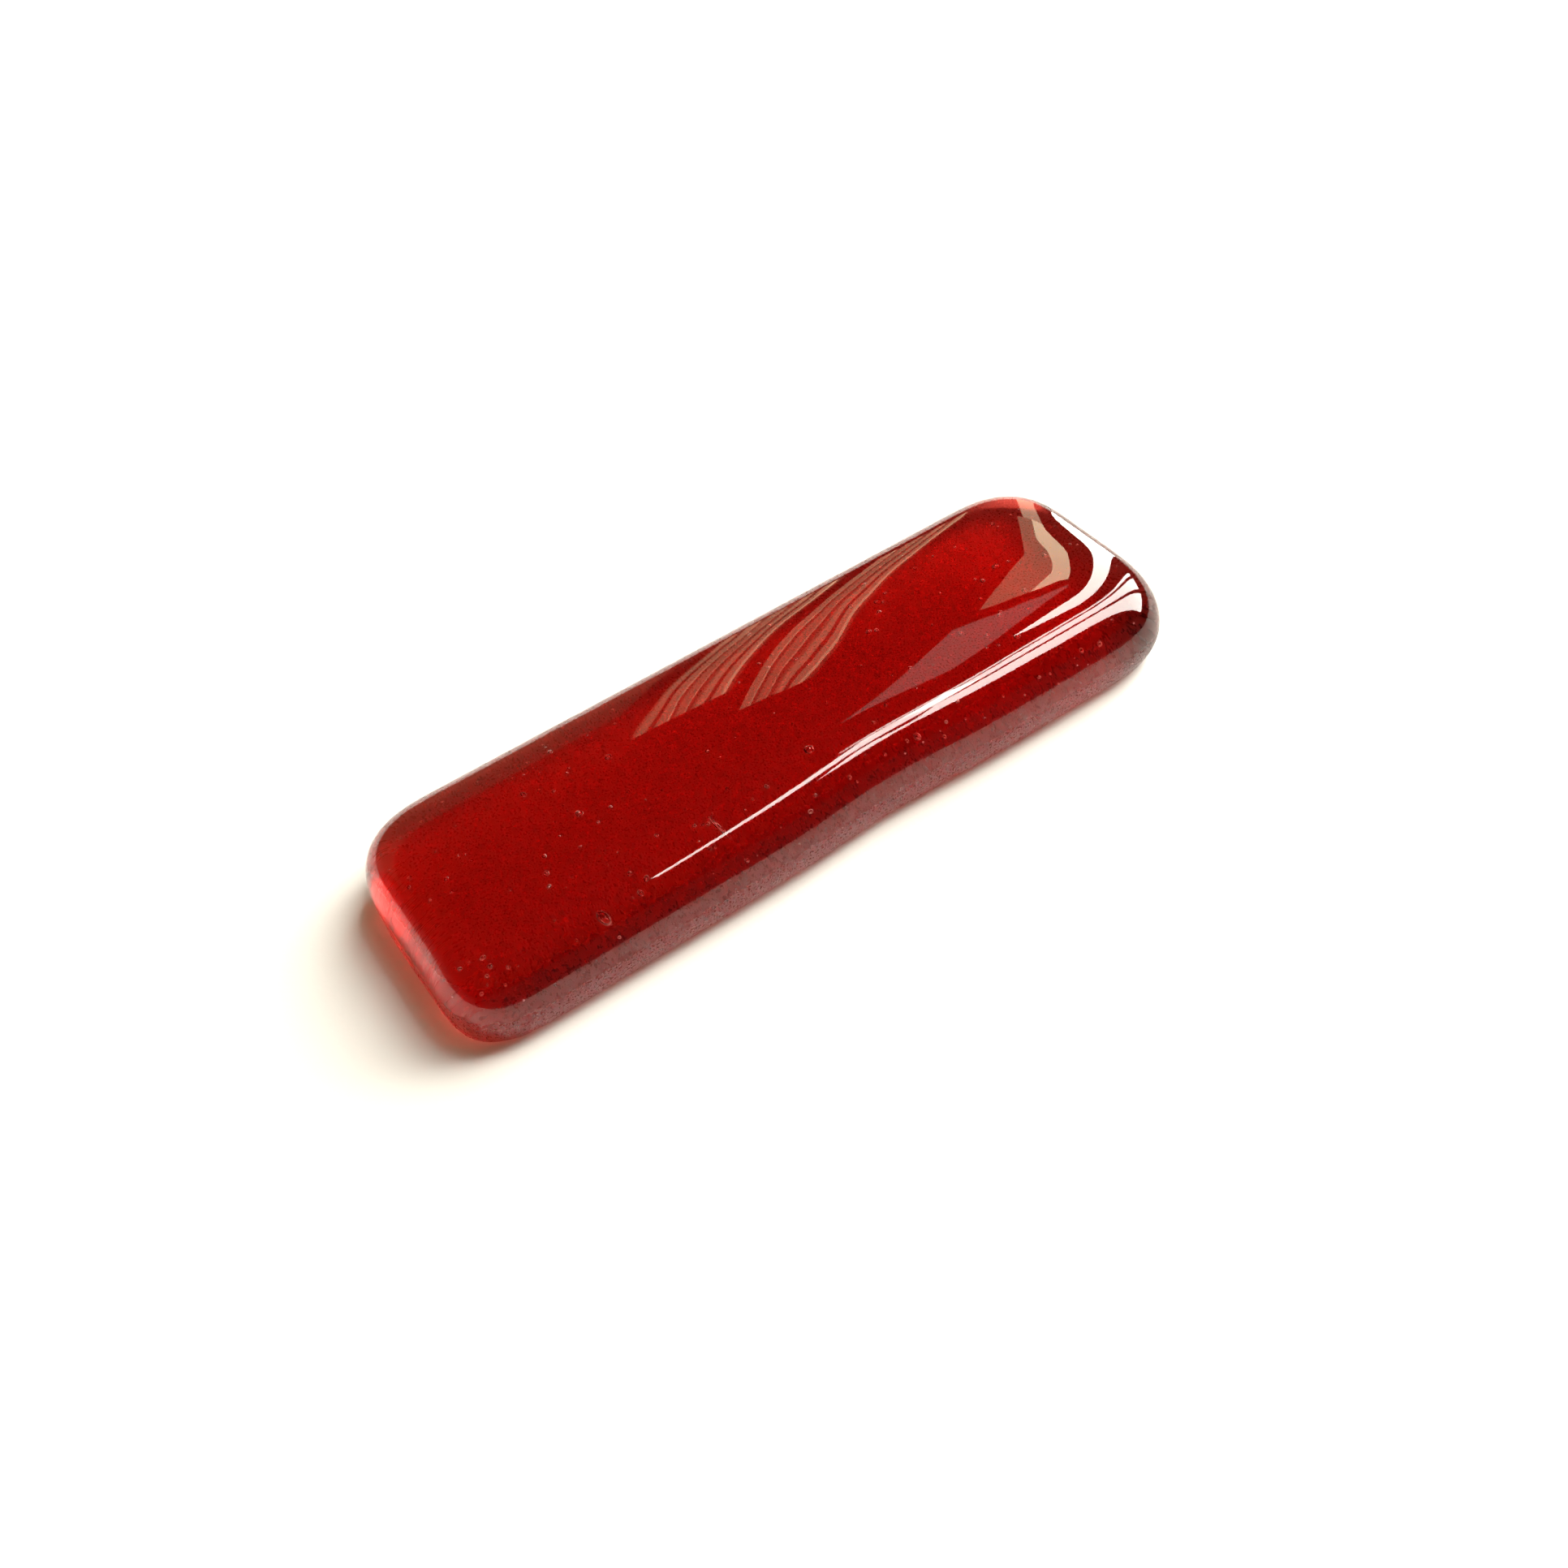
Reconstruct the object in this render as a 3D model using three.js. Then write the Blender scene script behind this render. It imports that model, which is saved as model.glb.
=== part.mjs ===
// A kiln-formed glass bar: one solid piece of clear red glass, melted smooth on a flat kiln shelf.
// Soft glass pulls itself into a flat-bottomed drop about 6 mm thick. Its top rises gently to the
// middle, its shoulders are round, and its wall bellies out over a slightly smaller base.
// Frame: millimetres, +Z up, X along the bar, Y across it. The origin is the centre of the base,
// which is the flat face that the bar rests on.
import * as THREE from "three";

// Driving dimensions, in millimetres.
const LENGTH = 56;
const WIDTH = 19.2;
const THICKNESS = 6.2;
const CORNER_RADIUS = 5.3; // in plan, round the belly, where the bar is widest

// The form of the cross-section, which is then brought to WIDTH and THICKNESS.
const CROWN_RADIUS = 62; // across the middle of the top
const SHOULDER_RADIUS = 3.5; // from the shoulder down to the base's edge
const SHOULDER_DEPTH = 1; // under the middle of the top, where the full shoulder begins
const WALL_TURN = 128; // degrees that the surface turns from the middle of the top to the base's edge

// How finely the smooth surfaces are faceted.
const PROFILE_FACETS = 24;
const CORNER_FACETS = 12;
const ARC_STEP = 0.005; // mm along the cross-section
const SAME_POINT = 1e-6; // mm

const halfLength = LENGTH / 2;
const halfWidth = WIDTH / 2;
const cornerRadius = Math.min(CORNER_RADIUS, halfWidth);

// Half of the cross-section, from the middle of the top to the base's edge, as points of across and
// depth. Its bend grows smoothly from the flat crown to the shoulder, so there is no edge between.
function settledCurve() {
  const lastSlope = THREE.MathUtils.degToRad(WALL_TURN);
  const slopeStep = lastSlope / PROFILE_FACETS;
  const points = [new THREE.Vector2(0, 0)];
  let across = 0;
  let depth = 0;
  let slope = 0;
  while (slope < lastSlope) {
    across += Math.cos(slope) * ARC_STEP;
    depth += Math.sin(slope) * ARC_STEP;
    const shoulder = THREE.MathUtils.smoothstep(depth, 0, SHOULDER_DEPTH);
    slope += THREE.MathUtils.lerp(1 / CROWN_RADIUS, 1 / SHOULDER_RADIUS, shoulder) * ARC_STEP;
    if (slope >= slopeStep * points.length) points.push(new THREE.Vector2(across, depth));
  }
  return points;
}

// The same curve brought to WIDTH and THICKNESS, from the base's edge up to the middle of the top,
// as inset from the widest outline and height over the base.
function wallProfile() {
  const curve = settledCurve();
  const widest = Math.max(...curve.map((point) => point.x));
  const deepest = curve[curve.length - 1].y;
  return curve.reverse().map((point) => ({
    inset: halfWidth * (1 - point.x / widest),
    height: THICKNESS * (1 - point.y / deepest),
  }));
}

// One closed ring of the surface: a rounded rectangle, inset from the widest outline all round.
// Its corners tighten as it shrinks, and at an inset of half the width it closes to the spine,
// a straight line along the middle of the bar.
function ring({ inset, height }) {
  const openness = 1 - inset / halfWidth; // 1 round the belly, 0 at the spine
  const radius = cornerRadius * openness;
  const centreX = halfLength - inset - radius;
  const centreY = (halfWidth - cornerRadius) * openness;
  const points = [];
  for (let corner = 0; corner < 4; corner += 1) {
    const signX = corner === 0 || corner === 3 ? 1 : -1;
    const signY = corner < 2 ? 1 : -1;
    for (let facet = 0; facet <= CORNER_FACETS; facet += 1) {
      const angle = ((corner + facet / CORNER_FACETS) * Math.PI) / 2;
      points.push(
        new THREE.Vector3(
          signX * centreX + radius * Math.cos(angle),
          signY * centreY + radius * Math.sin(angle),
          height,
        ),
      );
    }
  }
  return points;
}

// A closed surface through rings of equal count, lowest first. A face whose corners fall together,
// as they do where a ring closes to the spine, is left out.
function loft(rings) {
  const positions = [];
  const together = (a, b) => a.distanceTo(b) < SAME_POINT;
  const addTriangle = (a, b, c) => {
    if (together(a, b) || together(b, c) || together(c, a)) return;
    positions.push(...a.toArray(), ...b.toArray(), ...c.toArray());
  };
  for (let level = 1; level < rings.length; level += 1) {
    const below = rings[level - 1];
    const above = rings[level];
    below.forEach((point, index) => {
      const next = (index + 1) % below.length;
      addTriangle(point, below[next], above[next]);
      addTriangle(point, above[next], above[index]);
    });
  }
  const geometry = new THREE.BufferGeometry();
  geometry.setAttribute("position", new THREE.Float32BufferAttribute(positions, 3));
  geometry.computeVertexNormals();
  return geometry;
}

function glassBar() {
  const baseSpine = { inset: halfWidth, height: 0 };
  const geometry = loft([baseSpine, ...wallProfile()].map(ring));
  const redGlass = new THREE.MeshStandardMaterial({
    color: new THREE.Color(0.6, 0.01, 0.01),
    roughness: 0.04,
    metalness: 0,
    transparent: true,
    opacity: 0.85,
  });
  const mesh = new THREE.Mesh(geometry, redGlass);
  mesh.name = "glass_bar";
  return mesh;
}

const bar = new THREE.Group();
bar.add(glassBar());

export default bar;
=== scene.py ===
"""A kiln-formed bar of clear red glass, with gas bubbles trapped in it, on a white table by a window.

The file is laid out as an add-on and run as a script. It has one operator for the glass, one for the
bubbles and one for the table, the lights and the camera. Lengths are in metres.
"""

import math

import bmesh
import bpy
import numpy as np
from bpy.props import FloatProperty, FloatVectorProperty, IntProperty, PointerProperty
from mathutils import Matrix, Vector


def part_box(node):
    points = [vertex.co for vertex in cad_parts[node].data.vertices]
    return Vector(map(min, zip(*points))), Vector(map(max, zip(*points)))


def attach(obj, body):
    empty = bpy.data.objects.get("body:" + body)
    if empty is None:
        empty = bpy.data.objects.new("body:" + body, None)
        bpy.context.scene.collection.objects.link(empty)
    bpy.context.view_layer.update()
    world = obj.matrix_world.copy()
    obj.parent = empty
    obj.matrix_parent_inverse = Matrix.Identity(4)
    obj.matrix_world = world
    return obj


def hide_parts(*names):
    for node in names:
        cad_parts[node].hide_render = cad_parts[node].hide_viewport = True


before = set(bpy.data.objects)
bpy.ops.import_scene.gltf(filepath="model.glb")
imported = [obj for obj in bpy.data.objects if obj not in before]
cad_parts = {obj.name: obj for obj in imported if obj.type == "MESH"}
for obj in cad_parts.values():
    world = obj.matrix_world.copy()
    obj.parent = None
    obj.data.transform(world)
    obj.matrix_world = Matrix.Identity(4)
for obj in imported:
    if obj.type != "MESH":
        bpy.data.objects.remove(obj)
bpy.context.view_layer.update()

bl_info = {
    "name": "Fused Glass Bar",
    "version": (1, 0, 0),
    "blender": (4, 5, 0),
    "location": "View3D > Sidebar > Glass Bar",
    "description": "Makes a kiln-formed bar of clear red glass, its bubbles, and the table it lies on",
    "category": "Object",
}

MM = 0.001
NODE = "glass_bar"
BODY = "root"

# The bar's size and place, as the CAD model has them.
BAR_LOW, BAR_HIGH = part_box(NODE)
BAR_CENTRE = (BAR_LOW + BAR_HIGH) / 2
HALF_LENGTH = (BAR_HIGH.x - BAR_LOW.x) / 2
HALF_WIDTH = (BAR_HIGH.y - BAR_LOW.y) / 2
THICKNESS = BAR_HIGH.z - BAR_LOW.z

# The form of the cross-section, which is then brought to the bar's width and thickness.
CROWN_RADIUS = 62 * MM
SHOULDER_RADIUS = 3.5 * MM
SHOULDER_DEPTH = 1 * MM  # under the crown, where the full shoulder begins
WALL_TURN = math.radians(128)  # from the crown to where the base's edge is rounded off
EDGE_RADIUS = 0.15 * MM
END_SHARE = 0.7  # of the sides' inset, so that the ends stand steeper than the sides
LEFT_FOOT_SHARE = 0.3  # the same under the left end's belly, which sagged nearly upright
LEFT_LIP = 0.18 * MM  # that the left end's foot runs out on the shelf
LEFT_LIP_HEIGHT = 0.45 * MM
ARC_STEP = 0.002 * MM

# The share of the kiln's dull texture at each point of the glass, 1 up to the belly and 0 on the polish.
KILN_FACE = "kiln_face"
DULL_HEIGHT = 2.9 * MM
RAGGED_HEIGHT = 0.8 * MM  # that its upper edge wanders by
GRAIN_HEIGHT = 0.0015 * MM  # of the finest texture, which is only in the finish

# How finely the surface is divided.
SAME_POINT = 0.0005 * MM
WALL_RINGS = 72
BASE_RINGS = 46
CORNER_POINTS = 60
CORNER_STEPS = 2000  # that the corner's curve is summed in
LONG_SIDE_POINTS = 262
SHORT_SIDE_POINTS = 22

# Small bubbles lie under the parts of the surface that face up at least this much, and this deep.
LEAST_UPWARD = 0.35
LEAST_COVER = 0.08 * MM
SMALL_BIAS = 1.8  # above 1, most small bubbles are near the smallest size
SHALLOW_BIAS = 1.6  # above 1, most small bubbles are near the surface
WIDEST_STRETCH = 1.3  # how many times as long as wide a small bubble may be
LEAST_STRETCH = 0.95
FLATTENING = 0.95  # how many times as high as wide a small bubble is
DRIFT_LENGTH = 6 * MM  # from one crowd of small bubbles to the next
LARGE_BUBBLE_FINENESS = 3
SMALL_BUBBLE_FINENESS = 2

# Bubbles large enough to see as rings: along, across and depth under the crown, radius, all in mm; how
# many times as long as wide; and the heading and dip of the length, in degrees.
LARGE_BUBBLES = (
    (-0.5, -4.7, 1.4, 0.30, 1.1, 0, 0),
    (-8.4, -6.1, 1.8, 0.14, 7.0, -78, 20),
    (-17.5, -7.1, 2.3, 0.34, 1.5, -75, 10),
    (-16.8, 3.6, 1.3, 0.16, 1.8, 100, 0),
    (-10.9, 2.9, 1.3, 0.22, 1.2, 20, 0),
    (-14.8, -0.2, 1.2, 0.23, 1.1, 0, 0),
    (-18.8, -3.0, 1.3, 0.20, 1.0, 0, 0),
    (-14.7, -5.8, 1.8, 0.17, 1.0, 0, 0),
    (-14.0, -6.5, 2.0, 0.17, 1.3, 50, 0),
    (-14.8, -7.0, 2.2, 0.18, 1.2, -60, 0),
    (-11.9, -4.6, 1.4, 0.15, 1.0, 0, 0),
    (-24.7, -5.7, 1.8, 0.14, 1.3, 0, 0),
    (-24.6, -6.3, 2.0, 0.16, 1.0, 0, 0),
    (-25.0, -6.6, 2.2, 0.12, 1.0, 0, 0),
    (-23.8, -6.8, 2.2, 0.13, 1.0, 0, 0),
    (6.1, -7.0, 2.5, 0.22, 1.2, -60, 0),
    (5.3, -7.0, 2.4, 0.13, 1.0, 0, 0),
    (5.7, -4.6, 1.4, 0.15, 1.0, 0, 0),
    (11.0, 3.5, 1.2, 0.17, 1.2, 40, 0),
    (11.4, 3.2, 1.3, 0.14, 1.0, 0, 0),
    (8.8, 1.4, 1.2, 0.18, 1.2, 10, 0),
    (9.3, 1.2, 1.3, 0.18, 1.0, 0, 0),
    (13.4, -2.7, 1.2, 0.18, 1.0, 0, 0),
    (14.7, -3.9, 1.3, 0.15, 1.0, 0, 0),
    (16.2, -5.1, 1.5, 0.20, 1.1, 0, 0),
    (16.7, -2.8, 1.2, 0.16, 1.0, 0, 0),
    (17.8, 0.4, 1.2, 0.18, 1.0, 0, 0),
    (19.3, -2.2, 1.2, 0.19, 1.0, 0, 0),
    (19.4, 1.0, 1.2, 0.22, 1.2, 20, 0),
    (22.7, -0.3, 1.3, 0.20, 1.0, 0, 0),
)

# The table and the view. The camera's place and aim are in mm, and its roll is in degrees.
TABLE_SIZE = 1.2
CONTACT_GAP = 0.02 * MM
CAMERA_PLACE = (-37.04, -69.58, 82.08)
CAMERA_AIM = (-1.08, -1.81, 0)
CAMERA_ROLL = -8.83
CAMERA_SENSOR = 36
CAMERA_LENS = 38.6
LIGHT_BOUNCES = 24  # enough for light to cross the glass and its bubbles

# The room round the table, as upright panels of light this far from the bar. Each has a name, the
# headings of its two sides and the elevations of its foot and its head as seen from the bar, in
# degrees, its colour, and its brightness as a share of the windows'.
PANEL_DISTANCE = 1.0
SKYLIGHT = (-0.29, 3.2, 2.4, 0.26, 25)  # a slanted pane: across, height, length, width, lean in degrees
DAYLIGHT = (1.0, 0.97, 0.9)
PANELS = (
    ("near_window_wide_pane", -24.5, -0.5, 16, 67, DAYLIGHT, 1.0),
    ("near_window_pane", 4, 15, 16, 67, DAYLIGHT, 1.0),
    ("near_window_edge", 17.5, 20, 16, 67, DAYLIGHT, 1.0),
    ("side_window", 30, 36.5, -5, 54, (1.0, 0.97, 0.88), 1.0),
    ("beige_wall_foot", 42, 47.5, -5, 28, (1.0, 0.75, 0.5), 0.2),
    ("beige_wall_side", 45, 49, 28, 45, (1.0, 0.8, 0.5), 0.09),
    ("beige_wall_picture", 42, 45, 28, 45, (1.0, 0.85, 0.55), 0.42),
    ("far_wall", 41, 50, 46.5, 55, (1.0, 0.9, 0.8), 0.06),
    ("front_wall", -150, -30, -5, 36, (1.0, 0.9, 0.85), 0.003),
    ("left_wall", 120, 200, -5, 16, (1.0, 0.9, 0.85), 0.006),
    ("back_wall", 73, 130, -5, 34, (1.0, 0.6, 0.35), 0.014),
)

# Curtains beside the windows: the headings of their two sides, the elevations of their foot and their
# head, and how many folds they hang in.
CURTAINS = (
    (65.5, 71, 4, 40, 5),
    (59.5, 64, 8, 44, 4),
)
CURTAIN_COLOUR = (1.0, 0.62, 0.36)


# ---------------------------------------------------------------------------------------------
# Settings


class BarForm(bpy.types.PropertyGroup):
    """How the softened glass strayed from a perfectly settled bar"""

    corner_reach: FloatProperty(
        name="Corner Reach",
        description="How far from a corner of the outline its rounding starts",
        default=8.1 * MM, min=1 * MM, max=9 * MM, unit="LENGTH",
    )
    tight_corner_reach: FloatProperty(
        name="Tight Corner Reach",
        description="The same at the front left corner, which softened least",
        default=6.6 * MM, min=1 * MM, max=9 * MM, unit="LENGTH",
    )
    dent_depth: FloatProperty(
        name="Dent Depth",
        description="How far the front side is drawn in at its shallow dent",
        default=0.4 * MM, min=0, max=1 * MM, unit="LENGTH",
    )
    dent_place: FloatProperty(
        name="Dent Place",
        description="Where along the bar the shallow dent is, from the middle",
        default=3.5 * MM, unit="LENGTH",
    )
    dent_length: FloatProperty(
        name="Dent Length",
        description="How far the dent runs along the bar each way",
        default=5.5 * MM, min=1 * MM, unit="LENGTH",
    )
    wave_height: FloatProperty(
        name="Wave Height",
        description="Height of the broad, soft waves in the fire-polished surface",
        default=0.02 * MM, min=0, unit="LENGTH",
    )
    wave_length: FloatProperty(
        name="Wave Length",
        description="Distance from one broad wave to the next",
        default=9 * MM, min=1 * MM, unit="LENGTH",
    )
    ripple_height: FloatProperty(
        name="Ripple Height",
        description="Height of the upright ripples low on the wall, where the glass gripped the shelf",
        default=0.06 * MM, min=0, unit="LENGTH",
    )
    ripple_length: FloatProperty(
        name="Ripple Length",
        description="Distance from one ripple to the next round the base's edge",
        default=1.2 * MM, min=0.1 * MM, unit="LENGTH",
    )
    kiln_relief: FloatProperty(
        name="Kiln Relief",
        description="Depth of the texture that the kiln shelf left in the base",
        default=0.035 * MM, min=0, unit="LENGTH",
    )
    kiln_grain: FloatProperty(
        name="Kiln Grain",
        description="Size of one bump of the base's texture",
        default=1.3 * MM, min=0.1 * MM, unit="LENGTH",
    )
    comb_depth: FloatProperty(
        name="Comb Depth",
        description="Depth of the furrows across the base near its long edges",
        default=0.09 * MM, min=0, unit="LENGTH",
    )
    comb_spacing: FloatProperty(
        name="Comb Spacing",
        description="Distance from one furrow to the next",
        default=1.0 * MM, min=0.1 * MM, unit="LENGTH",
    )
    seed: IntProperty(
        name="Seed",
        description="Picks one arrangement of waves, ripples and texture",
        default=3, min=0,
    )


class GlassFinish(bpy.types.PropertyGroup):
    """Colour and surface of the glass"""

    colour: FloatVectorProperty(
        name="Glass Colour",
        description="Colour of light that has gone a short way through the glass",
        subtype="COLOR", size=3, min=0, max=1, default=(0.86, 0.08, 0.0),
    )
    depth_of_colour: FloatProperty(
        name="Depth of Colour",
        description="How strongly a metre of the glass absorbs the light that isn't its colour",
        default=470, min=0,
    )
    refraction: FloatProperty(
        name="Refractive Index",
        description="How strongly the glass bends light",
        default=1.52, min=1, max=2,
    )
    polish: FloatProperty(
        name="Polish Roughness",
        description="Roughness of the fire-polished surface",
        subtype="FACTOR", default=0.015, min=0, max=1,
    )
    kiln_roughness: FloatProperty(
        name="Kiln Face Roughness",
        description="Roughness of the base, where the glass lay on the kiln shelf",
        subtype="FACTOR", default=0.32, min=0, max=1,
    )


class BubbleSizes(bpy.types.PropertyGroup):
    """How much gas is trapped in the glass, and where"""

    density: FloatProperty(
        name="Density",
        description="Most small bubbles under a square metre of the surface",
        default=450000, min=0,
    )
    smallest: FloatProperty(
        name="Smallest Radius",
        description="Radius of the finest bubbles",
        default=0.06 * MM, min=0.001 * MM, unit="LENGTH",
    )
    largest: FloatProperty(
        name="Largest Radius",
        description="Radius of the largest of the small bubbles",
        default=0.17 * MM, min=0.001 * MM, unit="LENGTH",
    )
    deepest: FloatProperty(
        name="Greatest Depth",
        description="How far under the surface the deepest bubbles are",
        default=2.4 * MM, min=0, unit="LENGTH",
    )
    spacing: FloatProperty(
        name="Spacing",
        description="Least distance from one bubble to the next",
        default=0.42 * MM, min=0, unit="LENGTH",
    )
    seed: IntProperty(
        name="Seed",
        description="Picks one arrangement of bubbles",
        default=11, min=0,
    )


class StageLook(bpy.types.PropertyGroup):
    """The table, the light and the view"""

    table_colour: FloatVectorProperty(
        name="Table Colour",
        description="Colour of the table top",
        subtype="COLOR", size=3, min=0, max=1, default=(0.83, 0.82, 0.79),
    )
    window_brightness: FloatProperty(
        name="Window Brightness",
        description="Brightness of the windows, where 1 is the white of the picture",
        default=17, min=0,
    )
    curtain_brightness: FloatProperty(
        name="Curtain Brightness",
        description="Brightness of the brightest fold of a curtain",
        default=4.2, min=0,
    )
    room_brightness: FloatProperty(
        name="Room Brightness",
        description="Brightness of the rest of the room",
        default=0.015, min=0,
    )
    shadow_brightness: FloatProperty(
        name="Shadow Brightness",
        description="Brightness of the room as it fills the shadow on the table",
        default=0.13, min=0,
    )


# ---------------------------------------------------------------------------------------------
# Short hands for nodes


class NodeBench:
    """Adds nodes to a tree, one call each"""

    def __init__(self, tree):
        self.tree = tree

    def add(self, kind, inputs=None, **settings):
        """A new node with its settings made and its inputs set or linked; gives the node."""
        node = self.tree.nodes.new(kind)
        for name, value in settings.items():
            setattr(node, name, value)
        for name, value in (inputs or {}).items():
            socket = node.inputs[name]
            if isinstance(value, bpy.types.NodeSocket):
                self.tree.links.new(value, socket)
            else:
                socket.default_value = value
        return node

    def math(self, operation, *values):
        """One arithmetic node; gives its result."""
        return self.add("ShaderNodeMath", dict(enumerate(values)), operation=operation).outputs[0]

    def vector_math(self, operation, *values):
        """One vector arithmetic node; gives its result."""
        return self.add("ShaderNodeVectorMath", dict(enumerate(values)), operation=operation).outputs[0]

    def noise(self, place, length, detail):
        """Noise from 0 to 1, with about one bump to a length."""
        inputs = {"Vector": place, "Scale": 1 / length, "Detail": detail}
        return self.add("ShaderNodeTexNoise", inputs).outputs[0]

    def bump(self, height):
        """The surface's normal as this height tilts it."""
        return self.add("ShaderNodeBump", {"Height": height, "Distance": 1.0, "Strength": 1.0}).outputs[0]

    def fade(self, value, start, end, low=0.0, high=1.0):
        """A smooth change from low at start to high at end, level beyond them."""
        inputs = {"Value": value, "From Min": start, "From Max": end, "To Min": low, "To Max": high}
        return self.add("ShaderNodeMapRange", inputs, interpolation_type="SMOOTHSTEP").outputs[0]


def geometry_tree(name, inputs):
    """An empty Geometry Nodes tree with these named inputs: its bench, its input node and its output node."""
    tree = bpy.data.node_groups.new(name, "GeometryNodeTree")
    tree.is_modifier = True
    tree.interface.new_socket("Geometry", in_out="INPUT", socket_type="NodeSocketGeometry")
    for label, kind in inputs.items():
        tree.interface.new_socket(label, in_out="INPUT", socket_type=kind)
    tree.interface.new_socket("Geometry", in_out="OUTPUT", socket_type="NodeSocketGeometry")
    bench = NodeBench(tree)
    return bench, bench.add("NodeGroupInput").outputs, bench.add("NodeGroupOutput").inputs


def shaped_by(obj, bench, values):
    """Runs the tree on obj with these input values, and leaves obj with the result as its plain mesh."""
    tree = bench.tree
    modifier = obj.modifiers.new(tree.name, "NODES")
    modifier.node_group = tree
    for item in tree.interface.items_tree:
        if item.item_type == "SOCKET" and item.in_out == "INPUT" and item.name in values:
            modifier[item.identifier] = values[item.name]
    evaluated = obj.evaluated_get(bpy.context.evaluated_depsgraph_get())
    finished = bpy.data.meshes.new_from_object(evaluated)
    obj.modifiers.remove(modifier)
    raw = obj.data
    obj.data = finished
    finished.name = obj.name
    bpy.data.meshes.remove(raw)


def new_material(name):
    """An empty node material: itself, its bench, and its output's surface and volume sockets."""
    material = bpy.data.materials.new(name)
    material.use_nodes = True
    material.node_tree.nodes.clear()
    bench = NodeBench(material.node_tree)
    output = bench.add("ShaderNodeOutputMaterial").inputs
    return material, bench, output["Surface"], output["Volume"]


def new_piece(name, mesh):
    """An object for the mesh, in the scene, at the origin."""
    piece = bpy.data.objects.new(name, mesh)
    bpy.context.scene.collection.objects.link(piece)
    return piece


# ---------------------------------------------------------------------------------------------
# The glass


def settled_curve():
    """Half of the cross-section, from the crown to the flat of the base.

    Gives rows of across, depth, slope and arc length. The bend grows smoothly from the flat crown to
    the shoulder, and is tight only in the small rounding of the base's edge.
    """
    rows = [(0.0, 0.0, 0.0, 0.0)]
    while rows[-1][2] < math.pi:
        across, depth, slope, arc = rows[-1]
        share = min(depth / SHOULDER_DEPTH, 1)
        share *= share * (3 - 2 * share)
        settled = (1 - share) / CROWN_RADIUS + share / SHOULDER_RADIUS
        curvature = settled if slope < WALL_TURN else 1 / EDGE_RADIUS
        rows.append((
            across + math.cos(slope) * ARC_STEP,
            depth + math.sin(slope) * ARC_STEP,
            slope + curvature * ARC_STEP,
            arc + ARC_STEP,
        ))
    return np.array(rows)


def wall_profile():
    """Rows of inset from the widest outline and height over the base, from the base's edge to the crown.

    Rings stand closer where the wall turns fastest.
    """
    across, depth, slope, arc = settled_curve().T
    progress = slope / slope[-1] + arc / arc[-1]
    wanted = np.linspace(progress[-1], 0, WALL_RINGS)
    inset = HALF_WIDTH * (1 - np.interp(wanted, progress, across) / across.max())
    height = THICKNESS * (1 - np.interp(wanted, progress, depth) / depth[-1])
    return np.column_stack([np.maximum(inset, 0), height])


def corner_curve():
    """One rounded corner, as seen from the point where the two sides would meet, for a reach of 1.

    Its bend grows smoothly from nothing at each side to its most in the middle, so that reflections
    run on without a break. It starts on the side along X and ends on the side along Y.
    """
    steps = CORNER_STEPS
    along = (np.arange(steps) + 0.5) / steps
    bend = np.pi / 2 * (along - np.sin(2 * np.pi * along) / (2 * np.pi))
    points = np.vstack([[0, 0], np.cumsum(np.column_stack([np.cos(bend), np.sin(bend)]), axis=0)])
    points /= points[-1, 0]
    points[:, 0] -= 1
    picked = np.linspace(0, steps, CORNER_POINTS).round().astype(int)
    return points[picked]


def ring(inset, height, left_reach, corner, form):
    """One closed ring of the surface, the outline drawn in by inset, at height, out to left_reach.

    Its corners tighten as it shrinks, and at an inset of half the width it closes to the spine.
    """
    openness = 1 - inset / HALF_WIDTH
    width, right_reach = HALF_WIDTH - inset, HALF_LENGTH - inset * END_SHARE
    usual = corner * form.corner_reach * openness
    tight = corner * form.tight_corner_reach * openness
    sides = [
        usual + (right_reach, -width),
        usual[::-1] * (1, -1) + (right_reach, width),
        -usual + (-left_reach, width),
        tight[::-1] * (-1, 1) + (-left_reach, -width),
    ]
    counts = [SHORT_SIDE_POINTS, LONG_SIDE_POINTS, SHORT_SIDE_POINTS, LONG_SIDE_POINTS]
    outline = []
    for here, after, count in zip(sides, sides[1:] + sides[:1], counts):
        outline.append(here)
        share = np.linspace(0, 1, count + 2)[1:-1, None]
        outline.append(here[-1] * (1 - share) + after[0] * share)
    plan = np.vstack(outline)
    return np.column_stack([plan, np.full(len(plan), height)])


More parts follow.
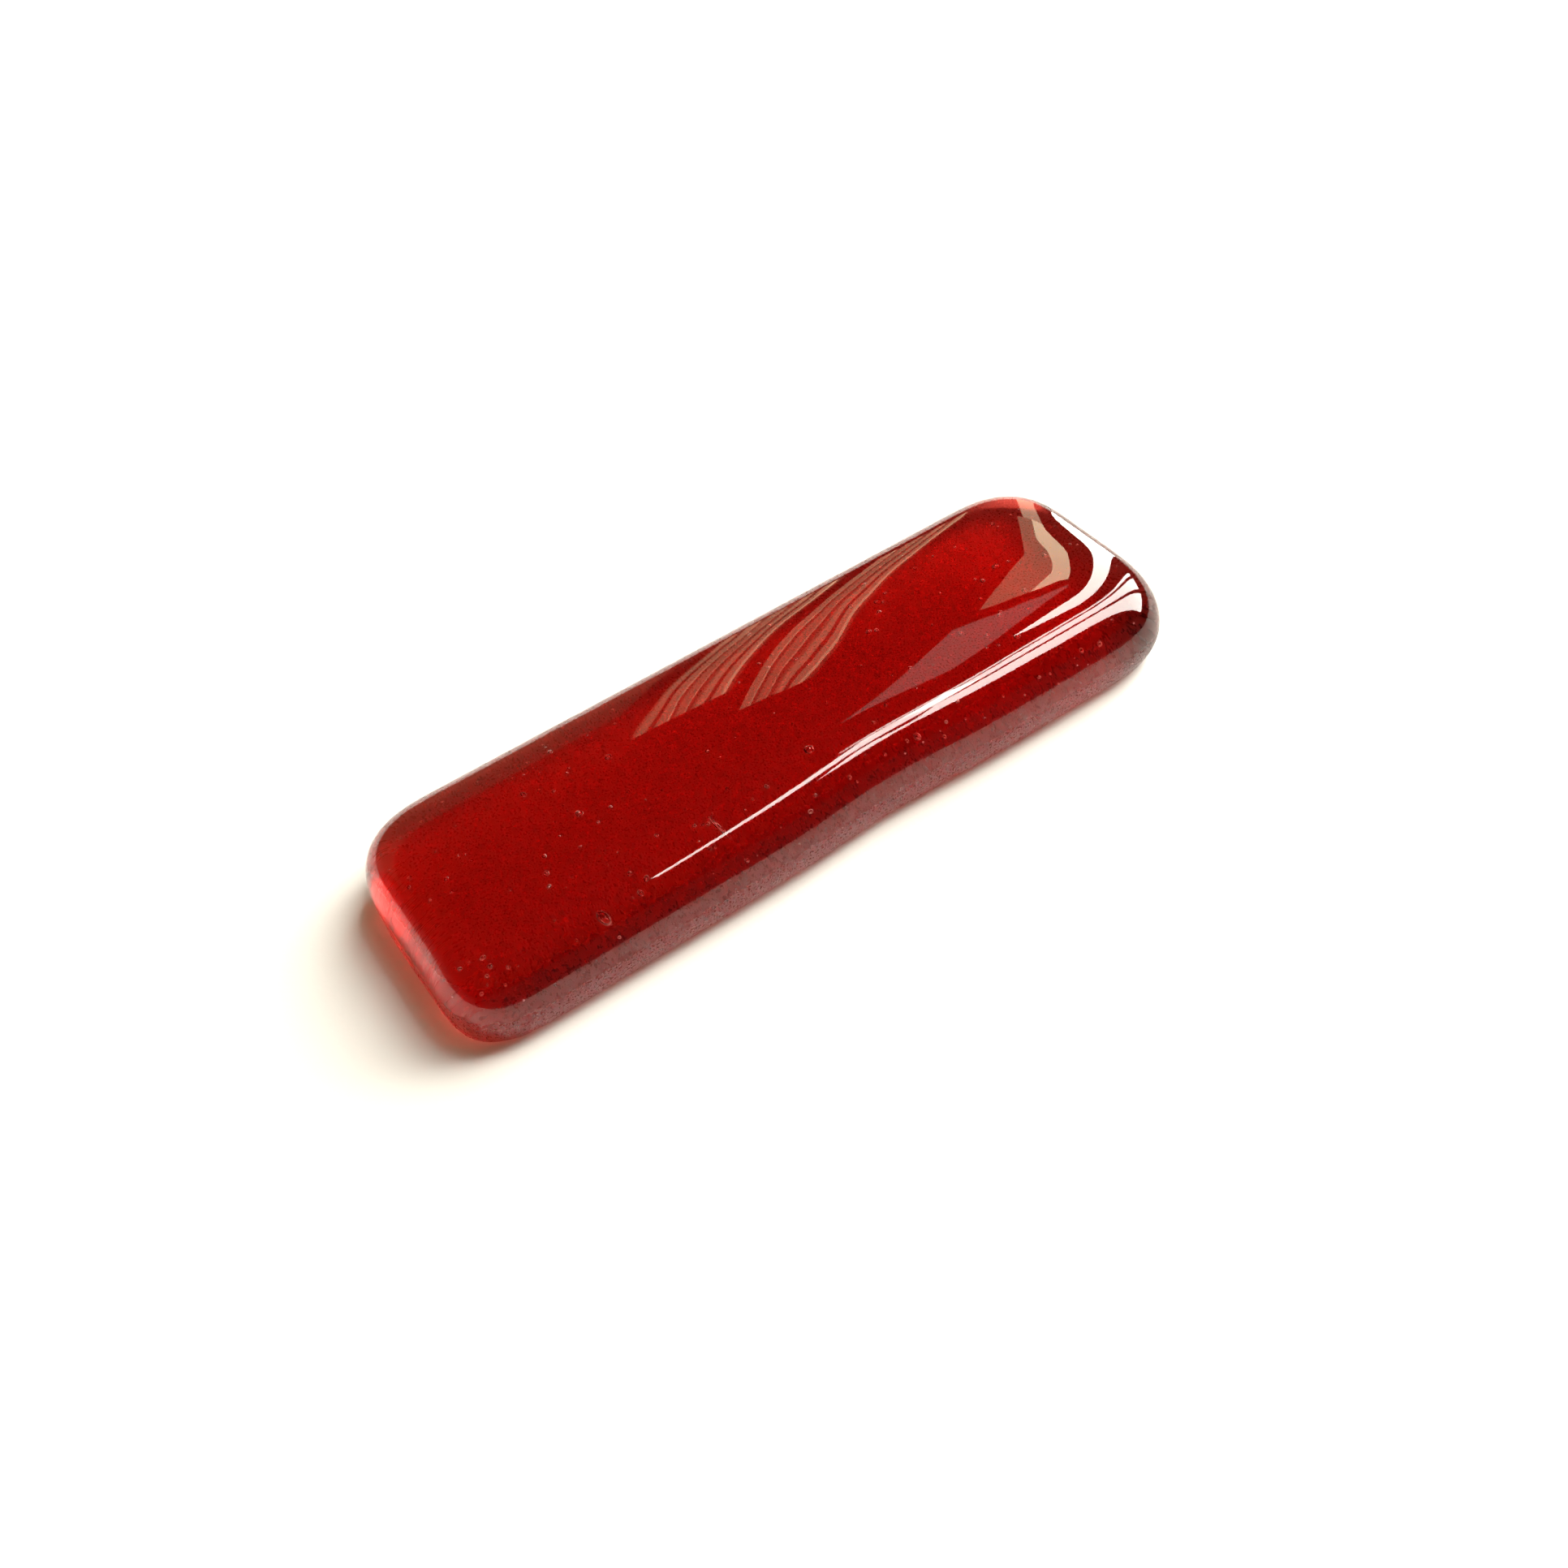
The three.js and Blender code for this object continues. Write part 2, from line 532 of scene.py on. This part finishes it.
def settled_mesh(form):
    """The bar's surface as it would settle: rings from the middle of the base round the wall to the crown."""
    inset, height = wall_profile().T
    left_reach = HALF_LENGTH - inset * END_SHARE
    foot = slice(0, inset.argmin())
    lip = np.maximum(1 - height[foot] / LEFT_LIP_HEIGHT, 0) ** 2
    left_reach[foot] = HALF_LENGTH - inset[foot] * LEFT_FOOT_SHARE + LEFT_LIP * lip
    wall = np.column_stack([inset, height, left_reach])
    spine = (HALF_WIDTH, 0, HALF_LENGTH - HALF_WIDTH * END_SHARE)
    base = np.linspace(spine, wall[0], BASE_RINGS + 1)[:-1]
    corner = corner_curve()
    rings = np.array([ring(*row, corner, form) for row in np.vstack([base, wall])])
    ring_count, ring_points, _ = rings.shape
    points = rings.reshape(-1, 3)

    front = points[:, 1] < 0
    along = (points[:, 0] - form.dent_place) / form.dent_length
    drawn_in = form.dent_depth * np.exp(-(along**2)) * (points[:, 1] / HALF_WIDTH) ** 2
    points[front, 1] += drawn_in[front]
    points += (BAR_CENTRE.x, BAR_CENTRE.y, BAR_LOW.z)

    level, place = np.meshgrid(np.arange(ring_count - 1), np.arange(ring_points), indexing="ij")
    below = level * ring_points + place
    below_next = level * ring_points + (place + 1) % ring_points
    quads = np.stack([below, below_next, below_next + ring_points, below + ring_points], axis=-1)
    mesh = bpy.data.meshes.new("settled_glass")
    mesh.from_pydata(points.tolist(), [], quads.reshape(-1, 4).tolist())
    closed = bmesh.new()
    closed.from_mesh(mesh)
    bmesh.ops.remove_doubles(closed, verts=closed.verts, dist=SAME_POINT)
    bmesh.ops.recalc_face_normals(closed, faces=closed.faces)
    closed.to_mesh(mesh)
    closed.free()
    return mesh


def fire_polished_skin():
    """The tree that gives a settled bar its waves, its ripples and the texture of its base."""
    bench, given, result = geometry_tree("fire_polished_skin", {
        "Wave Height": "NodeSocketFloat",
        "Wave Length": "NodeSocketFloat",
        "Ripple Height": "NodeSocketFloat",
        "Ripple Length": "NodeSocketFloat",
        "Kiln Relief": "NodeSocketFloat",
        "Kiln Grain": "NodeSocketFloat",
        "Comb Depth": "NodeSocketFloat",
        "Comb Spacing": "NodeSocketFloat",
        "Seed": "NodeSocketInt",
        "Glass": "NodeSocketMaterial",
    })
    place = bench.add("GeometryNodeInputPosition").outputs[0]
    facing = bench.add("GeometryNodeInputNormal").outputs[0]
    _, across, height = bench.add("ShaderNodeSeparateXYZ", {0: place}).outputs

    def bumps(stretch, length, detail, offset):
        """Noise from 0 to 1 with one bump to a length, drawn out by stretch."""
        scale = bench.math("DIVIDE", 1.0, length)
        inputs = {
            "Vector": bench.vector_math("MULTIPLY", place, stretch),
            "W": bench.math("ADD", given["Seed"], offset),
            "Scale": scale,
            "Detail": detail,
        }
        return bench.add("ShaderNodeTexNoise", inputs, noise_dimensions="4D").outputs[0]

    def swell(noise, most):
        """The noise as a height either way, up to most."""
        return bench.math("MULTIPLY", bench.math("MULTIPLY_ADD", noise, 2.0, -1.0), most)

    near_base = bench.fade(height, 0.05 * MM, 0.45 * MM, 1.0, 0.0)
    waves = bench.math(
        "MULTIPLY",
        swell(bumps((1, 1, 1), given["Wave Length"], 1.0, 0.5), given["Wave Height"]),
        bench.fade(height, 0.0, 1.5 * MM),
    )
    ripples = bench.math(
        "MULTIPLY",
        swell(bumps((1, 1, 0.15), given["Ripple Length"], 2.0, 7.5), given["Ripple Height"]),
        bench.fade(height, 0.5 * MM, 2.4 * MM, 1.0, 0.0),
    )
    grain = bench.math("MULTIPLY", bumps((1, 1, 1), given["Kiln Grain"], 3.0, 13.5), given["Kiln Relief"])
    near_edge = bench.fade(bench.math("ABSOLUTE", across), 2 * MM, 5.5 * MM)
    combed = bumps((1, 0.2, 1), given["Comb Spacing"], 2.0, 21.5)
    furrows = bench.math("MULTIPLY", combed, given["Comb Depth"])
    relief = bench.math("MULTIPLY", bench.math("MULTIPLY_ADD", furrows, near_edge, grain), near_base)
    outwards = bench.vector_math("MULTIPLY", facing, (1, 1, 0))
    waved = bench.add("ShaderNodeVectorMath", {0: facing, "Scale": waves}, operation="SCALE").outputs[0]
    rippled = bench.add("ShaderNodeVectorMath", {0: outwards, "Scale": ripples}, operation="SCALE").outputs[0]
    raised = bench.add("ShaderNodeCombineXYZ", {"Z": relief}).outputs[0]
    shift = bench.vector_math("ADD", bench.vector_math("ADD", waved, rippled), raised)

    uneven = bumps((1, 1, 1), given["Ripple Length"], 3.0, 31.5)
    ragged = bench.math("MULTIPLY_ADD", uneven, RAGGED_HEIGHT, height)
    dull = bench.fade(ragged, DULL_HEIGHT, DULL_HEIGHT + 0.4 * MM, 1.0, 0.0)
    marked = bench.add(
        "GeometryNodeStoreNamedAttribute",
        {"Geometry": given["Geometry"], "Name": KILN_FACE, "Value": dull},
        data_type="FLOAT", domain="POINT",
    )
    moved = bench.add("GeometryNodeSetPosition", {"Geometry": marked.outputs[0], "Offset": shift})
    smooth = bench.add("GeometryNodeSetShadeSmooth", {0: moved.outputs[0]})
    real = bench.add("GeometryNodeRealizeInstances", {0: smooth.outputs[0]})
    named = bench.add("GeometryNodeSetMaterial", {"Geometry": real.outputs[0], "Material": given["Glass"]})
    bench.tree.links.new(named.outputs[0], result[0])
    return bench


def red_glass(finish):
    """Clear red glass, fire-polished above and rough with fine grain on the kiln face."""
    material, bench, surface, volume = new_material("clear_red_glass")
    place = bench.add("ShaderNodeTexCoord").outputs["Object"]
    kiln_face = bench.add("ShaderNodeAttribute", attribute_name=KILN_FACE).outputs["Fac"]

    smears = bench.noise(place, 4 * MM, 4.0)
    grain = bench.noise(place, 0.16 * MM, 3.0)
    fibres = bench.add(
        "ShaderNodeTexVoronoi", {"Vector": place, "Scale": 1 / (0.4 * MM)}, feature="SMOOTH_F1"
    ).outputs["Distance"]

    polished = bench.fade(smears, 0.35, 0.75, 0.3 * finish.polish, 1.6 * finish.polish)
    kiln = bench.fade(grain, 0.3, 0.7, 0.7 * finish.kiln_roughness, 1.3 * finish.kiln_roughness)
    roughness = bench.add("ShaderNodeMix", {0: kiln_face, 2: polished, 3: kiln}).outputs[0]
    fibre_height = bench.math("MULTIPLY", fibres, GRAIN_HEIGHT)
    kiln_height = bench.math("MULTIPLY_ADD", grain, GRAIN_HEIGHT, fibre_height)
    height = bench.math(
        "MULTIPLY_ADD", kiln_height, kiln_face, bench.math("MULTIPLY", smears, 0.0006 * MM)
    )
    normal = bench.bump(height)
    glass = bench.add("ShaderNodeBsdfPrincipled", {
        "Base Color": (1, 1, 1, 1),
        "Roughness": roughness,
        "IOR": finish.refraction,
        "Transmission Weight": 1.0,
        "Normal": normal,
    })
    depth = bench.add("ShaderNodeVolumeAbsorption", {
        "Color": (*finish.colour, 1),
        "Density": finish.depth_of_colour,
    })
    bench.tree.links.new(glass.outputs[0], surface)
    bench.tree.links.new(depth.outputs[0], volume)
    return material


class GLASSBAR_OT_melt(bpy.types.Operator):
    """Makes the bar of glass in place of the plain CAD solid"""

    bl_idname = "glass_bar.melt"
    bl_label = "Melt the Glass Bar"
    bl_options = {"REGISTER", "UNDO"}

    def execute(self, context):
        form = context.scene.glass_bar_form
        bar = new_piece("fused_glass_bar", settled_mesh(form))
        shaped_by(bar, fire_polished_skin(), {
            "Wave Height": form.wave_height,
            "Wave Length": form.wave_length,
            "Ripple Height": form.ripple_height,
            "Ripple Length": form.ripple_length,
            "Kiln Relief": form.kiln_relief,
            "Kiln Grain": form.kiln_grain,
            "Comb Depth": form.comb_depth,
            "Comb Spacing": form.comb_spacing,
            "Seed": form.seed,
            "Glass": red_glass(context.scene.glass_bar_finish),
        })
        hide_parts(NODE)
        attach(bar, BODY)
        return {"FINISHED"}


# ---------------------------------------------------------------------------------------------
# The bubbles


def scattered_bubbles():
    """The tree that turns the glass's surface into small bubbles under it."""
    bench, given, result = geometry_tree("scattered_bubbles", {
        "Density": "NodeSocketFloat",
        "Smallest": "NodeSocketFloat",
        "Largest": "NodeSocketFloat",
        "Deepest": "NodeSocketFloat",
        "Spacing": "NodeSocketFloat",
        "Seed": "NodeSocketInt",
        "Gas": "NodeSocketMaterial",
    })
    place = bench.add("GeometryNodeInputPosition").outputs[0]
    facing = bench.add("GeometryNodeInputNormal").outputs[0]
    upward = bench.add("ShaderNodeSeparateXYZ", {0: facing}).outputs["Z"]
    top_side = bench.math("GREATER_THAN", upward, LEAST_UPWARD)
    drifts = bench.noise(place, DRIFT_LENGTH, 1.0)
    crowding = bench.math("MULTIPLY", bench.fade(drifts, 0.35, 0.65, 0.15, 1.0), top_side)
    points = bench.add("GeometryNodeDistributePointsOnFaces", {
        "Mesh": given["Geometry"],
        "Distance Min": given["Spacing"],
        "Density Max": given["Density"],
        "Density Factor": crowding,
        "Seed": given["Seed"],
    }, distribute_method="POISSON")

    def chance(offset, low=0.0, high=1.0):
        """A number picked for each point."""
        seed = bench.math("ADD", given["Seed"], offset)
        picked = bench.add("FunctionNodeRandomValue", {2: low, 3: high, "Seed": seed}, data_type="FLOAT")
        return picked.outputs[1]

    growth = bench.math("DIVIDE", given["Largest"], given["Smallest"])
    radius = bench.math(
        "MULTIPLY", given["Smallest"],
        bench.math("POWER", growth, bench.math("POWER", chance(1), SMALL_BIAS)),
    )
    roof = bench.math("MULTIPLY_ADD", radius, WIDEST_STRETCH, LEAST_COVER)
    depth = bench.math("MULTIPLY_ADD", bench.math("POWER", chance(2), SHALLOW_BIAS), given["Deepest"], roof)
    inwards = bench.add(
        "ShaderNodeVectorMath",
        {0: points.outputs["Normal"], "Scale": bench.math("MULTIPLY", depth, -1.0)},
        operation="SCALE",
    ).outputs[0]
    sunk = bench.add("GeometryNodeSetPosition", {"Geometry": points.outputs[0], "Offset": inwards})
    ball = bench.add("GeometryNodeMeshIcoSphere", {"Radius": 1.0, "Subdivisions": SMALL_BUBBLE_FINENESS})
    rounded = bench.add("GeometryNodeSetShadeSmooth", {0: ball.outputs[0]})
    stretch = chance(3, LEAST_STRETCH, WIDEST_STRETCH)
    form = bench.add("ShaderNodeCombineXYZ", {"X": stretch, "Y": 1.0, "Z": FLATTENING}).outputs[0]
    size = bench.add("ShaderNodeVectorMath", {0: form, "Scale": radius}, operation="SCALE").outputs[0]
    turn = bench.add("ShaderNodeCombineXYZ", {"Z": chance(4, 0.0, math.tau)}).outputs[0]
    placed = bench.add("GeometryNodeInstanceOnPoints", {
        "Points": sunk.outputs[0],
        "Instance": rounded.outputs[0],
        "Rotation": turn,
        "Scale": size,
    })
    real = bench.add("GeometryNodeRealizeInstances", {0: placed.outputs[0]})
    named = bench.add("GeometryNodeSetMaterial", {"Geometry": real.outputs[0], "Material": given["Gas"]})
    bench.tree.links.new(named.outputs[0], result[0])
    return bench


def add_large_bubbles(mesh, gas):
    """Adds the few bubbles that are large enough to see as rings, and gives all bubbles the one material."""
    gathered = bmesh.new()
    gathered.from_mesh(mesh)
    for x, y, depth, radius, stretch, heading, dip in LARGE_BUBBLES:
        turn = Matrix.Rotation(math.radians(heading), 4, "Z") @ Matrix.Rotation(math.radians(dip), 4, "Y")
        form = Matrix.Diagonal((radius * stretch * MM, radius * MM, radius * MM, 1))
        place = Matrix.Translation(BAR_CENTRE + Vector((x * MM, y * MM, THICKNESS / 2 - depth * MM)))
        whole = place @ turn @ form
        bmesh.ops.create_icosphere(gathered, subdivisions=LARGE_BUBBLE_FINENESS, radius=1, matrix=whole)
    for face in gathered.faces:
        face.material_index = 0
    gathered.to_mesh(mesh)
    gathered.free()
    mesh.materials.clear()
    mesh.materials.append(gas)
    mesh.shade_smooth()


def bubble_wall(refraction):
    """The wall of a gas bubble, seen from inside the glass, where a ray leaves glass and enters gas.

    A pale diffuse sheet, mixed in patches where the wall turns away, is a painted highlight that stands in
    for the arcs of light that bubbles show.
    """
    material, bench, surface, _ = new_material("bubble_wall")
    place = bench.add("ShaderNodeTexCoord").outputs["Object"]
    ripple = bench.noise(place, 0.2 * MM, 1.0)
    highlight_patches = bench.noise(place, 0.35 * MM, 2.0)
    height = bench.math("MULTIPLY", ripple, 0.002 * MM)
    normal = bench.bump(height)
    gas = bench.add("ShaderNodeBsdfGlass", {
        "Color": (1, 1, 1, 1),
        "Roughness": 0.0,
        "IOR": 1 / refraction,
        "Normal": normal,
    })
    # A painted highlight: a pale diffuse sheet, mixed in patches where the wall turns away from the view,
    # stands in for the bright arcs of a bubble's rim.
    painted_highlight = bench.add("ShaderNodeBsdfDiffuse", {"Color": (1, 0.95, 0.9, 1)})
    rim = bench.add("ShaderNodeLayerWeight", {"Blend": 0.5}).outputs["Facing"]
    share = bench.math("MULTIPLY", bench.fade(rim, 0.3, 0.6), bench.fade(highlight_patches, 0.42, 0.56, 0.1, 1.0))
    wall = bench.add("ShaderNodeMixShader", {0: share, 1: gas.outputs[0], 2: painted_highlight.outputs[0]})
    bench.tree.links.new(wall.outputs[0], surface)
    return material


class GLASSBAR_OT_trap_bubbles(bpy.types.Operator):
    """Makes the gas bubbles inside the bar of glass"""

    bl_idname = "glass_bar.trap_bubbles"
    bl_label = "Trap the Bubbles"
    bl_options = {"REGISTER", "UNDO"}

    def execute(self, context):
        sizes = context.scene.glass_bar_bubbles
        glass = bpy.data.objects["fused_glass_bar"]
        gas = bubble_wall(context.scene.glass_bar_finish.refraction)
        bubbles = new_piece("trapped_bubbles", glass.data.copy())
        shaped_by(bubbles, scattered_bubbles(), {
            "Density": sizes.density,
            "Smallest": sizes.smallest,
            "Largest": sizes.largest,
            "Deepest": sizes.deepest,
            "Spacing": sizes.spacing,
            "Seed": sizes.seed,
            "Gas": gas,
        })
        add_large_bubbles(bubbles.data, gas)
        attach(bubbles, BODY)
        return {"FINISHED"}


# ---------------------------------------------------------------------------------------------
# The table, the light and the view


def table_top(look):
    """A plain white table top, a hair's breadth under the bar."""
    half = TABLE_SIZE / 2
    level = BAR_LOW.z - CONTACT_GAP
    corners = [(-half, -half, level), (half, -half, level), (half, half, level), (-half, half, level)]
    mesh = bpy.data.meshes.new("table_top")
    mesh.from_pydata(corners, [], [(0, 1, 2, 3)])
    table = new_piece("table_top", mesh)
    material, bench, surface, _ = new_material("white_table")
    place = bench.add("ShaderNodeTexCoord").outputs["Object"]
    grain = bench.noise(place, 0.5 * MM, 3.0)
    height = bench.math("MULTIPLY", grain, 0.01 * MM)
    normal = bench.bump(height)
    paint = bench.add("ShaderNodeBsdfPrincipled", {
        "Base Color": (*look.table_colour, 1),
        "Roughness": 0.8,
        "Specular IOR Level": 0.2,
        "Normal": normal,
    })
    bench.tree.links.new(paint.outputs[0], surface)
    mesh.materials.append(material)


def panel(name, headings, elevations, colour, brightness):
    """One upright panel of light that faces the bar, seen only in what it lights and in reflections.

    Brightness is what a mirror that shows the panel would show.
    """
    side, other_side = (math.radians(heading) for heading in headings)
    foot, head = (PANEL_DISTANCE * math.tan(math.radians(elevation)) for elevation in elevations)
    width = 2 * PANEL_DISTANCE * math.tan((other_side - side) / 2)
    upright(name, (side + other_side) / 2, 0, (foot + head) / 2, width, head - foot, 0, colour, brightness)


def upright(name, heading, across, height, width, length, lean, colour, brightness):
    """One rectangle of light in an upright plane that faces the bar."""
    light = bpy.data.lights.new(name, "AREA")
    light.shape = "RECTANGLE"
    light.size, light.size_y = width, length
    light.color = colour
    light.energy = brightness * math.pi * width * length
    fixture = bpy.data.objects.new(name, light)
    bpy.context.scene.collection.objects.link(fixture)
    away = Vector((math.cos(heading), math.sin(heading), 0))
    turn = away.to_track_quat("Z", "Y").to_matrix().to_4x4() @ Matrix.Rotation(lean, 4, "Z")
    beside = Vector((-math.sin(heading), math.cos(heading), 0))
    place = BAR_CENTRE + away * PANEL_DISTANCE + beside * across + Vector((0, 0, height))
    fixture.matrix_world = Matrix.Translation(place) @ turn
    fixture.visible_camera = False


def curtain(side, other_side, foot, head, folds, brightness):
    """A curtain that hangs in folds, light where they stand out and dark between."""
    step = (other_side - side) / folds
    for fold in range(folds):
        start = side + fold * step
        crest = 0.55 + 0.25 * math.sin(1.9 * fold)
        parts = ((0, 0.3, 0.1), (0.3, crest, 1.0), (crest, 1, 0.45))
        for low, high, share in parts:
            name = f"curtain_{side:.0f}_fold_{fold}_{share}"
            uneven = 0.7 + 0.3 * math.cos(2.4 * fold)
            headings = (start + low * step, start + high * step)
            panel(name, headings, (foot, head), CURTAIN_COLOUR, share * uneven * brightness)


def room_light(look):
    """A dim room for reflections, and a pale backdrop for what is seen directly or through the glass."""
    world = bpy.data.worlds.new("room")
    world.use_nodes = True
    bench = NodeBench(world.node_tree)
    world.node_tree.nodes.clear()
    direction = bench.add("ShaderNodeTexCoord").outputs["Generated"]
    up = bench.add("ShaderNodeSeparateXYZ", {0: direction}).outputs["Z"]
    ramp = bench.add("ShaderNodeValToRGB", {"Fac": up})
    stops = ramp.color_ramp.elements
    stops[0].position, stops[0].color = 0.0, (1.0, 0.85, 0.7, 1)
    stops[1].position, stops[1].color = 1.0, (0.5, 0.45, 0.4, 1)
    room = bench.add("ShaderNodeBackground", {"Color": ramp.outputs[0], "Strength": look.room_brightness})
    warm = {"Color": (1.0, 0.9, 0.5, 1), "Strength": look.shadow_brightness}
    fill = bench.add("ShaderNodeBackground", warm)
    backdrop = bench.add("ShaderNodeBackground", {"Color": (1, 1, 1, 1), "Strength": 1.0})
    path = bench.add("ShaderNodeLightPath").outputs
    straight = bench.math("LESS_THAN", bench.math("ADD", path["Diffuse Depth"], path["Glossy Depth"]), 0.5)
    clear = bench.math("MAXIMUM", path["Is Camera Ray"], path["Is Transmission Ray"])
    seen = bench.math("MULTIPLY", clear, straight)
    diffuse = path["Is Diffuse Ray"]
    inside = bench.add("ShaderNodeMixShader", {0: diffuse, 1: room.outputs[0], 2: fill.outputs[0]})
    mixed = bench.add("ShaderNodeMixShader", {0: seen, 1: inside.outputs[0], 2: backdrop.outputs[0]})
    bench.add("ShaderNodeOutputWorld", {"Surface": mixed.outputs[0]})
    bpy.context.scene.world = world


def view_of_the_bar():
    """The camera, above the bar's front left."""
    data = bpy.data.cameras.new("view")
    data.sensor_width = CAMERA_SENSOR
    data.lens = CAMERA_LENS
    data.clip_start, data.clip_end = 1 * MM, 20
    camera = bpy.data.objects.new("view", data)
    bpy.context.scene.collection.objects.link(camera)
    stand = Vector(CAMERA_PLACE) * MM
    aim = Vector(CAMERA_AIM) * MM
    turn = (stand - aim).to_track_quat("Z", "Y").to_matrix().to_4x4()
    roll = Matrix.Rotation(math.radians(CAMERA_ROLL), 4, "Z")
    camera.matrix_world = Matrix.Translation(stand) @ turn @ roll
    bpy.context.scene.camera = camera


class GLASSBAR_OT_set_stage(bpy.types.Operator):
    """Lays the table under the bar, lights it and sets the camera"""

    bl_idname = "glass_bar.set_stage"
    bl_label = "Set the Stage"
    bl_options = {"REGISTER", "UNDO"}

    def execute(self, context):
        look = context.scene.glass_bar_stage
        table_top(look)
        room_light(look)
        for name, side, other_side, foot, head, colour, share in PANELS:
            panel(name, (side, other_side), (foot, head), colour, share * look.window_brightness)
        across, height, length, width, lean = SKYLIGHT
        upright("skylight", 0, across, height, width, length, math.radians(lean), DAYLIGHT,
                look.window_brightness)
        for side, other_side, foot, head, folds in CURTAINS:
            curtain(side, other_side, foot, head, folds, look.curtain_brightness)
        view_of_the_bar()
        context.scene.view_settings.view_transform = "Standard"
        context.scene.cycles.transmission_bounces = LIGHT_BOUNCES
        context.scene.cycles.max_bounces = LIGHT_BOUNCES
        return {"FINISHED"}


# ---------------------------------------------------------------------------------------------
# The add-on


class GLASSBAR_PT_panel(bpy.types.Panel):
    """Lists the steps that make the bar, with their settings"""

    bl_idname = "GLASSBAR_PT_panel"
    bl_label = "Fused Glass Bar"
    bl_space_type = "VIEW_3D"
    bl_region_type = "UI"
    bl_category = "Glass Bar"

    def draw(self, context):
        for operator, groups in STEPS:
            box = self.layout.box()
            for group in groups:
                settings = getattr(context.scene, group)
                for name in settings.__annotations__:
                    box.prop(settings, name)
            box.operator(operator)


STEPS = (
    ("glass_bar.melt", ("glass_bar_form", "glass_bar_finish")),
    ("glass_bar.trap_bubbles", ("glass_bar_bubbles",)),
    ("glass_bar.set_stage", ("glass_bar_stage",)),
)
SETTINGS = {
    "glass_bar_form": BarForm,
    "glass_bar_finish": GlassFinish,
    "glass_bar_bubbles": BubbleSizes,
    "glass_bar_stage": StageLook,
}
CLASSES = (
    *SETTINGS.values(),
    GLASSBAR_OT_melt,
    GLASSBAR_OT_trap_bubbles,
    GLASSBAR_OT_set_stage,
    GLASSBAR_PT_panel,
)


def register():
    """Registers the settings, the operators and the panel."""
    for cls in CLASSES:
        bpy.utils.register_class(cls)
    for name, group in SETTINGS.items():
        setattr(bpy.types.Scene, name, PointerProperty(type=group))


def unregister():
    """Takes them all away again."""
    for name in SETTINGS:
        delattr(bpy.types.Scene, name)
    for cls in reversed(CLASSES):
        bpy.utils.unregister_class(cls)


def main():
    """Makes everything, in order."""
    register()
    bpy.ops.glass_bar.melt()
    bpy.ops.glass_bar.trap_bubbles()
    bpy.ops.glass_bar.set_stage()


if __name__ == "__main__":
    main()
